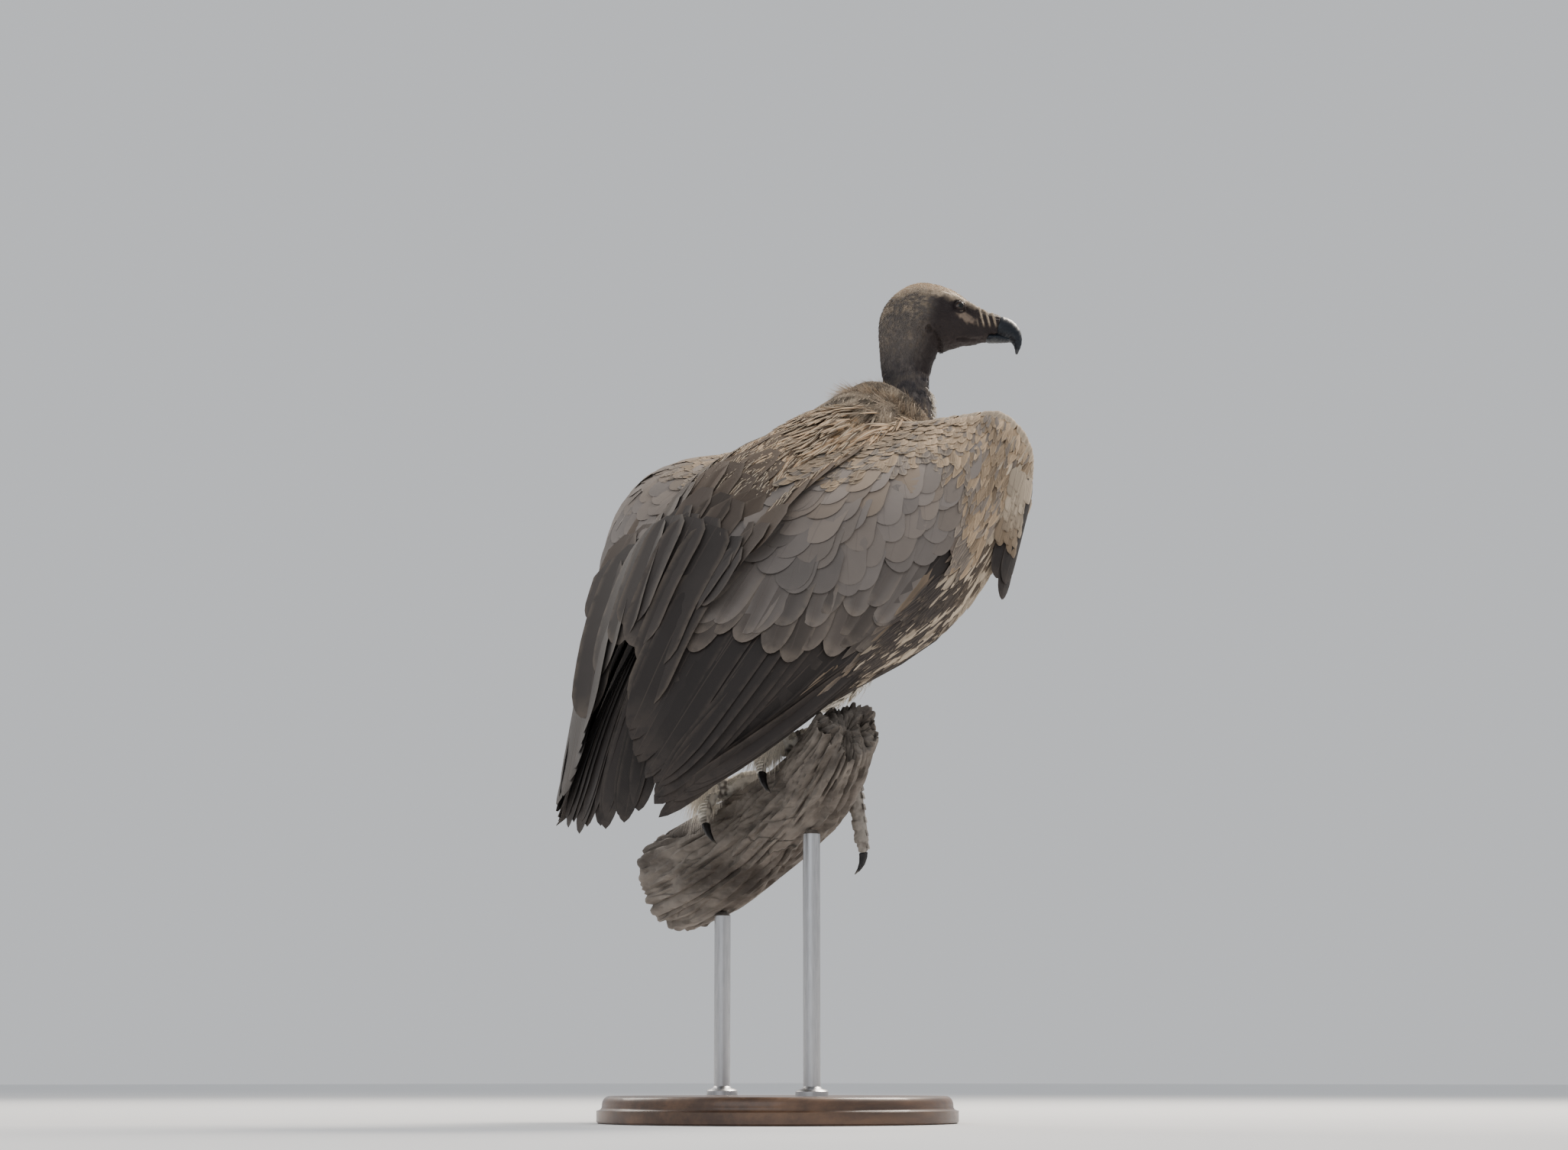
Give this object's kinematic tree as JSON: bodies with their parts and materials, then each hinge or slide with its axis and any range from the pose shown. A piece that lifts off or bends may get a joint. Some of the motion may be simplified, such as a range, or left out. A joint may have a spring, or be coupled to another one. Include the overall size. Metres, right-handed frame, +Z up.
{
  "type": "white-backed vulture",
  "caption": "Life-size white-backed vulture perched on a cut length of branch, head turned to its right and wings loosely folded, on a plain round display stand.",
  "frame": {"origin": "middle of the display stand's flat underside", "axes": "+Z up, +X the way the bird's body faces, +Y the bird's left"},
  "size_m": [0.5084, 0.3978, 0.8534],
  "materials": {
    "down_pale": "soft pale buff down",
    "skin_dark": "bare and thinly downed blackish skin",
    "feather_mantle": "brown body feathers with pale shaft streaks",
    "feather_covert": "buff-brown coverts with pale edges",
    "feather_flight": "dark brown flight feathers",
    "feather_white": "loose whitish leg and belly feathers",
    "horn": "polished blackish horn",
    "eye": "wet dark brown eye",
    "scute": "scaly dark grey leg skin",
    "claw": "black horn",
    "bark": "weathered dead wood",
    "stand_wood": "stained and waxed",
    "stand_steel": "brushed"
  },
  "bodies": {
    "root": {"alula_left": "feather_flight", "alula_right": "feather_flight", "claw_hind_left": "claw", "claw_hind_right": "claw", "claw_inner_left": "claw", "claw_inner_right": "claw", "claw_middle_left": "claw", "claw_middle_right": "claw", "claw_outer_left": "claw", "claw_outer_right": "claw", "eye_left": "eye", "eye_right": "eye", "foot_left": "scute", "foot_right": "scute", "head": "down_pale", "lower_bill": "horn", "neck": "skin_dark", "perch": "bark", "ruff": "down_pale", "shoulder_left": "feather_mantle", "shoulder_right": "feather_mantle", "stand_base": "stand_wood", "stand_rod_left": "stand_steel", "stand_rod_right": "stand_steel", "tail": "feather_flight", "tarsus_left": "scute", "tarsus_right": "scute", "thigh_left": "feather_white", "thigh_right": "feather_white", "trunk": "feather_mantle", "upper_bill": "horn", "wing_coverts_left": "feather_covert", "wing_coverts_right": "feather_covert", "wing_primaries_left": "feather_flight", "wing_primaries_right": "feather_flight", "wing_secondaries_left": "feather_flight", "wing_secondaries_right": "feather_flight"}
  },
  "joints": []
}
